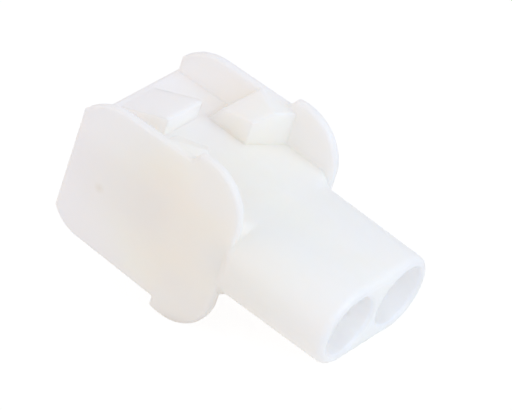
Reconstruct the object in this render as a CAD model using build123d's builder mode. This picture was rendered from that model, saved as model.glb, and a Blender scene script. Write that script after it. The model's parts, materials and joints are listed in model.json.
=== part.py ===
"""Two-circuit wire connector housing, one piece moulded in natural nylon.

Two tall side plates with finger lobes stand beside a flat shroud. A latch ramp and two sloped shoulders rise
between the plates, above and below, and a round-ended barrel behind takes the two wires. The empty housing
lies on its lower finger lobes and on the lower edge of the barrel's end.

Each feature is drawn upright first: X runs from the mating end to the wire end, Y across the circuits, and
Z is up from the plane through the two circuit axes.
"""

import os
from math import asin, atan, atan2, cos, degrees, hypot, radians, sin, sqrt, tan

from build123d import *

os.makedirs("parts", exist_ok=True)

# Whole housing
length = 29.2
pitch = 7.0

# Barrel at the wire end
barrel_radius = 3.9
barrel_root_radius = 4.0
barrel_side_flat = 0.2
barrel_edge_round = 0.75
neck_start = 16.6
neck_length = 1.5
neck_corner = 0.3

# Side plates, with a lobe above and below
plates_across = 14.3
plate_thickness = 0.85
plate_inner_round = 0.3
plate_outer_bevel = 0.18
plate_half_height = 7.33
plate_flare = 0.25
corner_top_x = 4.3
corner_top_drop = 2.33
corner_low_x = 3.0
corner_low_drop = 1.58
lobe_x = 13.15
lobe_proud = 1.37
lobe_radius = 4.72
step_top_x = 11.48
step_top_slope = 58.0
step_low_x = 11.95
step_round = 0.2

# Shroud around the mating cavity
shroud_half_height = 3.62
shroud_rear_half_height = 4.1
shroud_wall = 0.9
shroud_level_x = 13.0
cavity_depth = 10.5
cavity_corner = 1.1
cavity_lead_in = 0.35

# Latch ramp in front, above and below
ramp_width = 4.8
ramp_start = 0.5
ramp_crest_x = 5.55
ramp_height = 2.0
ramp_land = 0.35
ramp_round = 0.18

# Sloped shoulders between the channel and each plate
channel_width = 6.6
channel_narrowing = 0.25
shoulder_front = 5.9
shoulder_side_end = 10.5
shoulder_back = 12.6
shoulder_height = 1.6
shoulder_rise = 16.0
shoulder_bank = 26.0
shoulder_nose_slope = 56.0
shoulder_round = 0.2

# Terminal bores
wire_bore = 5.9
wire_bore_depth = 13.2
wire_mouth_flare = 0.3
bore_cone = 1.2
contact_bore = 4.1

# Sizes that follow from the ones above
plate_outer = plates_across / 2
plate_inner = plate_outer - plate_thickness
lobe_z = plate_half_height + lobe_proud - lobe_radius
channel_side = channel_width / 2
cavity_height = 2 * (shroud_half_height - shroud_wall)
contact_start = length - wire_bore_depth
barrel_start = neck_start + neck_length
barrel_corner = barrel_root_radius - barrel_side_flat / 2
barrel_taper = degrees(atan((barrel_root_radius - barrel_radius) / (length - barrel_start)))

# Tilt at which the lower lobes and the rounded lower edge of the barrel touch one plane
edge_x = length - barrel_edge_round
edge_z = barrel_radius - barrel_edge_round
span = hypot(edge_x - lobe_x, lobe_z - edge_z)
lobe_to_edge = atan2(lobe_z - edge_z, edge_x - lobe_x)
rest_tilt = degrees(lobe_to_edge + asin((lobe_radius - barrel_edge_round) / span))


def meet_lobe(x, z, slope):
    """Point where a line that climbs at this slope from (x, z) meets the upper lobe's circle."""
    along = Vector(cos(radians(slope)), sin(radians(slope)))
    back = Vector(x - lobe_x, z - lobe_z)
    reach = sqrt(back.dot(along) ** 2 - back.dot(back) + lobe_radius**2) - back.dot(along)
    return x + reach * along.X, z + reach * along.Y


# Outline of a side plate: rounded front corners, edges that flare to the rear, and a lobe above and below
step_z = plate_half_height + plate_flare
step_top_crest = meet_lobe(step_top_x, step_z, step_top_slope)
step_low_crest = meet_lobe(step_low_x, step_z, 90)
rear_x = lobe_x + lobe_radius

with BuildSketch(Plane.XZ) as plate_outline:
    with BuildLine():
        edge_top = Line((step_top_x, step_z), (corner_top_x, plate_half_height))
        corner_top_end = (0, plate_half_height - corner_top_drop)
        corner_top = TangentArc(edge_top @ 1, corner_top_end, tangent=edge_top % 1)
        edge_low = Line((step_low_x, -step_z), (corner_low_x, -plate_half_height))
        corner_low_end = (0, corner_low_drop - plate_half_height)
        corner_low = TangentArc(edge_low @ 1, corner_low_end, tangent=edge_low % 1)
        Line(corner_top @ 1, corner_low @ 1)
        step_top = Line(edge_top @ 0, step_top_crest)
        lobe_top = RadiusArc(step_top @ 1, (rear_x, lobe_z), lobe_radius)
        rear = Line(lobe_top @ 1, (rear_x, -lobe_z))
        lobe_low = RadiusArc(rear @ 1, (step_low_crest[0], -step_low_crest[1]), lobe_radius)
        Line(lobe_low @ 1, edge_low @ 0)
    make_face()
    step_corners = plate_outline.vertices().filter_by_position(Axis.X, step_top_x, step_top_crest[0])
    fillet(step_corners, step_round)

# One side plate, its inner rim rounded and its outer rim bevelled
with BuildPart() as plate:
    with BuildSketch(Plane.XZ.offset(-plate_inner)):
        add(plate_outline.sketch)
    extrude(amount=-plate_thickness)
    fillet(plate.faces().sort_by(Axis.Y)[0].edges(), plate_inner_round)
    chamfer(plate.faces().sort_by(Axis.Y)[-1].edges(), plate_outer_bevel)

# Latch ramp that the mating half's latch climbs and drops behind
ramp_base = shroud_half_height - shroud_wall / 2
ramp_top = shroud_half_height + ramp_height
with BuildPart() as ramp:
    with BuildSketch(Plane.XZ):
        with BuildLine():
            foot = Line((ramp_crest_x, ramp_base), (ramp_start, ramp_base))
            toe = Line(foot @ 1, (ramp_start, shroud_half_height))
            climb = Line(toe @ 1, (ramp_crest_x - ramp_land, ramp_top))
            land = Line(climb @ 1, (ramp_crest_x, ramp_top))
            Line(land @ 1, foot @ 0)
        make_face()
    extrude(amount=ramp_width / 2, both=True)
    fillet(ramp.faces().sort_by(Axis.Z)[-1].edges().filter_by(Axis.Y).sort_by(Axis.X)[-1], ramp_round)

# Sloped shoulder beside the channel: a steep nose in front, a top banked up to the plate, and a slanting back
banked = Plane(
    origin=(shoulder_front, channel_side, shroud_half_height + shoulder_height),
    x_dir=(1, 0, tan(radians(shoulder_rise))),
    z_dir=(-tan(radians(shoulder_rise)), -tan(radians(shoulder_bank)), 1),
)
nose = Plane(
    origin=(shoulder_front, 0, shroud_half_height),
    x_dir=(0, -1, 0),
    z_dir=(-sin(radians(shoulder_nose_slope)), 0, cos(radians(shoulder_nose_slope))),
)
with BuildPart() as shoulder:
    with BuildSketch(Plane.XY.offset(ramp_base)):
        with BuildLine():
            Polyline(
                (shoulder_front - shoulder_height, channel_side),
                (shoulder_front, channel_side),
                (shoulder_side_end, channel_side - channel_narrowing),
                (shoulder_back, plate_inner),
                (shoulder_back, plate_inner + plate_thickness / 2),
                (shoulder_front - shoulder_height, plate_inner + plate_thickness / 2),
                close=True,
            )
        make_face()
    extrude(amount=plate_half_height + plate_flare / 2 - ramp_base)
    split(bisect_by=banked, keep=Keep.BOTTOM)
    split(bisect_by=nose, keep=Keep.BOTTOM)
    top_edges = shoulder.faces().filter_by(lambda f: f.normal_at().Z > 0.7).edges()
    fillet(top_edges.filter_by(lambda e: e.center().Y < plate_inner), shoulder_round)

# Inside of one circuit, revolved: flared mouth, wire bore, cone, and the bore that holds the contact
with BuildPart() as passage:
    with BuildSketch(Plane.XY):
        with BuildLine():
            axis_line = Line((cavity_depth - shroud_wall, 0), (length, 0))
            mouth = Line(axis_line @ 1, (length, wire_bore / 2 + wire_mouth_flare))
            flare = Line(mouth @ 1, (length - wire_mouth_flare, wire_bore / 2))
            wire_wall = Line(flare @ 1, (contact_start, wire_bore / 2))
            cone = Line(wire_wall @ 1, (contact_start - bore_cone, contact_bore / 2))
            contact_wall = Line(cone @ 1, (cavity_depth - shroud_wall, contact_bore / 2))
            Line(contact_wall @ 1, axis_line @ 0)
        make_face()
    revolve(axis=Axis.X)

# Mating cavity, flared at the front edge
cavity_width = 2 * (plate_outer - shroud_wall)
flare_size = 2 * cavity_lead_in
flare_corner = cavity_corner + cavity_lead_in
with BuildPart() as cavity:
    with BuildSketch(Plane.YZ):
        RectangleRounded(cavity_width, cavity_height, cavity_corner)
    extrude(amount=cavity_depth)
    with BuildSketch(Plane.YZ):
        RectangleRounded(cavity_width + flare_size, cavity_height + flare_size, flare_corner)
    extrude(amount=cavity_lead_in, taper=45)

# The moulding, drawn upright
with BuildPart() as upright:
    with BuildSketch(Plane.XZ):
        with BuildLine():
            Polyline(
                (0, -shroud_half_height),
                (0, shroud_half_height),
                (shroud_level_x, shroud_rear_half_height),
                (neck_start, shroud_rear_half_height),
                (neck_start, -shroud_rear_half_height),
                (shroud_level_x, -shroud_rear_half_height),
                close=True,
            )
        make_face()
    extrude(amount=plate_outer - plate_thickness / 2, both=True)
    with BuildSketch(Plane.YZ.offset(neck_start)):
        RectangleRounded(2 * plate_outer - plate_thickness, 2 * shroud_rear_half_height, neck_corner)
    with BuildSketch(Plane.YZ.offset(barrel_start)) as barrel_section:
        RectangleRounded(pitch + 2 * barrel_root_radius, 2 * barrel_root_radius, barrel_corner)
    loft()
    extrude(barrel_section.sketch, amount=length - barrel_start, taper=barrel_taper)
    fillet(upright.faces().sort_by(Axis.X)[-1].edges(), barrel_edge_round)
    add(plate.part)
    add(ramp.part)
    add(shoulder.part)
    mirror(plate.part, about=Plane.XZ)
    mirror(shoulder.part, about=Plane.XZ)
    mirror(ramp.part, about=Plane.XY)
    mirror(shoulder.part, about=Plane.XY)
    mirror(mirror(shoulder.part, about=Plane.XZ, mode=Mode.PRIVATE), about=Plane.XY)
    add(cavity.part, mode=Mode.SUBTRACT)
    with Locations((0, -pitch / 2, 0), (0, pitch / 2, 0)):
        add(passage.part, mode=Mode.SUBTRACT)

# Laid down as it rests, the origin at the middle of the underside of its bounds
resting = upright.part.moved(Rot(0, rest_tilt, 0))
bounds = resting.bounding_box()
with BuildPart() as housing:
    add(resting.moved(Pos(-bounds.center().X, -bounds.center().Y, -bounds.min.Z)))
housing.part.label = "housing"
export_step(housing.part, "parts/housing.step")
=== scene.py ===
"""The wire connector housing in natural nylon, on a white floor under soft studio light."""
import bpy
import json
from math import atan2, cos, radians, sin
from mathutils import Matrix, Vector

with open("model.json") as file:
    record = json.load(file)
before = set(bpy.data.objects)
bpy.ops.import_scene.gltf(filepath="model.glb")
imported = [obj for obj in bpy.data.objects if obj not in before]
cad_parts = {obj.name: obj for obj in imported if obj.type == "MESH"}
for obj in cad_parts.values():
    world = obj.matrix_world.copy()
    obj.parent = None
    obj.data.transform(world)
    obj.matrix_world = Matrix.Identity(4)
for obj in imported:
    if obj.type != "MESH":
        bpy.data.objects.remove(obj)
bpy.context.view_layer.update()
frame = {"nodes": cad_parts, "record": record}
scene = bpy.context.scene
scene.view_settings.view_transform = "Standard"
scene.cycles.max_bounces = 32
scene.cycles.diffuse_bounces = 32
MM = 0.001

# The upright housing, in millimetres: X runs from the mating end to the wire end, Y across the circuits, and
# Z is up from the plane through the circuits' axes
HALF_PITCH = 3.5
BORE_RADIUS = 2.95
BORE_MIDDLE = (22.45, -HALF_PITCH, 0.0)

# The housing lies tilted. Its own upright axes are found from the first wire bore's place and axis.
bore = next(mount for mount in frame["record"]["mounts"] if mount["name"] == "wire_entry_1")
TILT = atan2(-bore["axis"][2], bore["axis"][0])

# Specks in the nylon: place on the upright housing and radius, in millimetres
SPECKS = [
    ((3.79, -7.15, -1.15), 0.60),
    ((7.4, -1.32, 3.85), 0.42),
    ((29.2, -4.84, 3.7), 0.35),
    ((27.15, -0.75, -1.2), 0.40),
]

# A Mix node's colour sockets share their names with its other sockets, so they go by number
MIX_UNDER = 6
MIX_OVER = 7
MIX_RESULT = 2


def turned(x, y, z):
    """A direction of the upright housing, as it lies."""
    return Vector((x * cos(TILT) + z * sin(TILT), y, z * cos(TILT) - x * sin(TILT)))


OFFSET = Vector(bore["pos_m"]) - turned(*BORE_MIDDLE) * MM


def placed(x, y, z):
    """A point of the upright housing in millimetres, as it lies, in metres."""
    return turned(x, y, z) * MM + OFFSET


def place_camera():
    """The photograph's view, from a camera fitted to the outline of the housing."""
    photo_width = 512
    pixel = 0.0863 * MM
    distance = 393.75 * MM
    pivot = placed(14.525, 0, 0)
    pixels_right = 9.6845
    pixels_up = 12.5403
    right = turned(0.7488, 0.6081, 0.2639).normalized()
    away = turned(-0.3665, 0.7115, -0.5996).normalized()
    down = away.cross(right).normalized()
    aim = pivot + right * pixels_right * pixel - down * pixels_up * pixel
    data = bpy.data.cameras.new("camera")
    data.sensor_fit = "HORIZONTAL"
    data.sensor_width = 36
    data.lens = data.sensor_width * distance / (photo_width * pixel)
    data.clip_start = 0.01
    data.clip_end = 10
    camera = bpy.data.objects.new("camera", data)
    turn = Matrix((right, -down, -away)).transposed()
    camera.matrix_world = Matrix.Translation(aim - away * distance) @ turn.to_4x4()
    scene.collection.objects.link(camera)
    scene.camera = camera


def add_node(tree, kind, inputs, **settings):
    """A new shader node with its settings, and with each input linked to a socket or set to a value."""
    made = tree.nodes.new(kind)
    for name, value in settings.items():
        setattr(made, name, value)
    for name, value in inputs.items():
        if isinstance(value, bpy.types.NodeSocket):
            tree.links.new(value, made.inputs[name])
        else:
            made.inputs[name].default_value = value
    return made


def calculated(tree, operation, *values):
    """The result of a Math node on one or two values."""
    return add_node(tree, "ShaderNodeMath", dict(enumerate(values)), operation=operation).outputs["Value"]


def distance_to(tree, point, spot):
    """Distance of the shaded point from a spot on the upright housing, which is given in millimetres."""
    inputs = {0: point, 1: Vector(spot) * MM}
    return add_node(tree, "ShaderNodeVectorMath", inputs, operation="DISTANCE").outputs["Value"]


def fading(tree, value, start, end, strength, curve="LINEAR"):
    """An amount that falls from this strength at the start to nothing at the end, both in millimetres."""
    inputs = {
        "Value": value,
        "From Min": start * MM,
        "From Max": end * MM,
        "To Min": strength,
        "To Max": 0.0,
    }
    return add_node(tree, "ShaderNodeMapRange", inputs, interpolation_type=curve).outputs["Result"]


def blended(tree, amount, under, over):
    """The colour under, with this amount of the colour over."""
    inputs = {"Factor": amount, MIX_UNDER: under, MIX_OVER: over}
    return add_node(tree, "ShaderNodeMix", inputs, data_type="RGBA").outputs[MIX_RESULT]


def upright_point(tree):
    """The shaded point on the upright housing, in metres."""
    lying = add_node(tree, "ShaderNodeTexCoord", {}).outputs["Object"]
    inputs = {"Vector": lying, "Location": OFFSET, "Rotation": (0, TILT, 0)}
    return add_node(tree, "ShaderNodeMapping", inputs, vector_type="TEXTURE").outputs["Vector"]


def flow_marks(tree, point):
    """Two close tones of nylon, in faint marks from the mould that are drawn out along the circuits."""
    drawn = add_node(tree, "ShaderNodeMapping", {"Vector": point, "Scale": (0.5, 1.0, 1.0)})
    inputs = {
        "Vector": drawn.outputs["Vector"],
        "Scale": 420,
        "Detail": 5,
        "Roughness": 0.6,
        "Distortion": 0.5,
    }
    flow = add_node(tree, "ShaderNodeTexNoise", inputs)
    tint = add_node(tree, "ShaderNodeValToRGB", {"Fac": flow.outputs["Fac"]})
    deeper, lighter = tint.color_ramp.elements
    deeper.position = 0.35
    deeper.color = (0.968, 0.930, 0.866, 1)
    lighter.position = 0.65
    lighter.color = (0.977, 0.943, 0.886, 1)
    return tint.outputs["Color"]


def painted_light_front(tree, parts, colour):
    """Painted light: paler towards the front, where the walls around the cavity are thin."""
    pale = (0.988, 0.970, 0.940, 1)
    amount = fading(tree, parts["X"], start=0, end=11, strength=0.8)
    return blended(tree, amount, colour, pale)


def painted_shade_side(tree, point, colour):
    """Painted shade: a warmer, darker tone on one side, strongest where the lobes, the shroud and the neck
    meet, and reaching the near lobe's shadow on the shroud.
    """
    warm = (0.915, 0.855, 0.788, 1)
    warmest = (13.5, -9.5, 2.0)
    reach = distance_to(tree, point, warmest)
    amount = fading(tree, reach, start=3, end=15, strength=0.60, curve="SMOOTHSTEP")
    return blended(tree, amount, colour, warm)


def painted_light_bores(tree, parts, colour):
    """Painted light: paler in the wire bores and their mouths, standing in for light that comes through the
    thin wall of the barrel.
    """
    bore_light = (1.0, 1.0, 0.995, 1)
    wall = BORE_RADIUS + 0.01
    mouth = BORE_RADIUS + 0.25
    bores_start = 12 * MM
    across = calculated(tree, "SUBTRACT", calculated(tree, "ABSOLUTE", parts["Y"]), HALF_PITCH * MM)
    spoke = add_node(tree, "ShaderNodeCombineXYZ", {"Y": across, "Z": parts["Z"]}).outputs["Vector"]
    reach = add_node(tree, "ShaderNodeVectorMath", {0: spoke}, operation="LENGTH").outputs["Value"]
    inside = fading(tree, reach, start=wall, end=mouth, strength=1.0)
    behind = calculated(tree, "GREATER_THAN", parts["X"], bores_start)
    return blended(tree, calculated(tree, "MULTIPLY", inside, behind), colour, bore_light)


def speckled(tree, point, colour):
    """Faint brown specks on the side plate, in the channel, on the wire end and in a wire bore."""
    brown = (0.52, 0.40, 0.26, 1)
    for spot, radius in SPECKS:
        amount = fading(tree, distance_to(tree, point, spot), start=0, end=radius, strength=0.16)
        colour = blended(tree, amount, colour, brown)
    return colour


def moulded_surface(tree, point):
    """The fine texture of the mould, over edges that are softly broken."""
    grain = add_node(tree, "ShaderNodeTexNoise", {"Vector": point, "Scale": 3200, "Detail": 3})
    soft = add_node(tree, "ShaderNodeBevel", {"Radius": 0.28 * MM}, samples=8)
    inputs = {
        "Height": grain.outputs["Fac"],
        "Normal": soft.outputs["Normal"],
        "Strength": 0.10,
        "Distance": 0.04 * MM,
    }
    return add_node(tree, "ShaderNodeBump", inputs).outputs["Normal"]


def nylon():
    """Natural nylon: translucent off-white, with faint marks and specks, painted light and shade, and a
    satin surface.
    """
    material = bpy.data.materials.new("natural_nylon")
    material.use_nodes = True
    tree = material.node_tree
    point = upright_point(tree)
    parts = add_node(tree, "ShaderNodeSeparateXYZ", {"Vector": point}).outputs
    colour = flow_marks(tree, point)
    # Painted light towards the front
    colour = painted_light_front(tree, parts, colour)
    # Painted shade on one side, with the near lobe's shadow on the shroud
    colour = painted_shade_side(tree, point, colour)
    # Painted light in the wire bores and their mouths
    colour = painted_light_bores(tree, parts, colour)
    colour = speckled(tree, point, colour)
    shader = tree.nodes["Principled BSDF"]
    shader.inputs["Roughness"].default_value = 0.38
    shader.inputs["IOR"].default_value = 1.45
    shader.inputs["Subsurface Weight"].default_value = 1.0
    shader.inputs["Subsurface Radius"].default_value = (1.0, 0.92, 0.84)
    shader.inputs["Subsurface Scale"].default_value = 2.1 * MM
    tree.links.new(colour, shader.inputs["Base Color"])
    tree.links.new(moulded_surface(tree, point), shader.inputs["Normal"])
    return material


def grey(level):
    """A neutral colour of this level."""
    return (level, level, level, 1)


def paper():
    """A plain sheet for the light on the housing, seen as paper white by the camera and in reflections."""
    material = bpy.data.materials.new("paper")
    material.use_nodes = True
    tree = material.node_tree
    tree.nodes.remove(tree.nodes["Principled BSDF"])
    sheet = add_node(tree, "ShaderNodeBsdfDiffuse", {"Color": grey(0.95)}).outputs["BSDF"]
    faint = add_node(tree, "ShaderNodeBsdfDiffuse", {"Color": grey(0.12)}).outputs["BSDF"]
    white = add_node(tree, "ShaderNodeEmission", {"Color": grey(0.92), "Strength": 1.0}).outputs["Emission"]
    seen = add_node(tree, "ShaderNodeAddShader", {0: faint, 1: white}).outputs["Shader"]
    ray = add_node(tree, "ShaderNodeLightPath", {}).outputs
    mirrored = calculated(tree, "MAXIMUM", ray["Is Glossy Ray"], ray["Is Transmission Ray"])
    direct = calculated(tree, "MAXIMUM", ray["Is Camera Ray"], mirrored)
    either = add_node(tree, "ShaderNodeMixShader", {"Fac": direct, 1: sheet, 2: seen})
    tree.links.new(either.outputs["Shader"], tree.nodes["Material Output"].inputs["Surface"])
    return material


def add_floor():
    """A white floor that keeps the housing's soft shadow."""
    half_width = 0.6
    mesh = bpy.data.meshes.new("floor")
    corners = [(x * half_width, y * half_width, 0) for x, y in ((-1, -1), (1, -1), (1, 1), (-1, 1))]
    mesh.from_pydata(corners, [], [(0, 1, 2, 3)])
    floor = bpy.data.objects.new("floor", mesh)
    scene.collection.objects.link(floor)
    mesh.materials.append(paper())


def light_world(colour, strength):
    """Even light from all round."""
    world = bpy.data.worlds.new("studio")
    world.use_nodes = True
    back = world.node_tree.nodes["Background"]
    back.inputs["Color"].default_value = colour
    back.inputs["Strength"].default_value = strength
    scene.world = world


def add_lamp(name, towards, strength, colour, spread):
    """A soft lamp that stands far off in this direction. Its disc is this many degrees wide."""
    data = bpy.data.lights.new(name, "SUN")
    data.energy = strength
    data.color = colour
    data.angle = radians(spread)
    lamp = bpy.data.objects.new(name, data)
    lamp.rotation_euler = Vector(towards).to_track_quat("Z", "Y").to_euler()
    scene.collection.objects.link(lamp)


place_camera()
finish = nylon()
for slot in frame["nodes"]["housing"].material_slots:
    slot.material = finish
add_floor()
light_world(colour=(0.96, 0.95, 1.0, 1), strength=0.76)
add_lamp("wire_end", towards=(0.88, 0.0, 0.45), strength=0.92, colour=(0.65, 0.82, 1.0), spread=40)
add_lamp("front_left", towards=(-0.62, -0.56, 0.40), strength=0.43, colour=(1.0, 0.70, 0.36), spread=50)
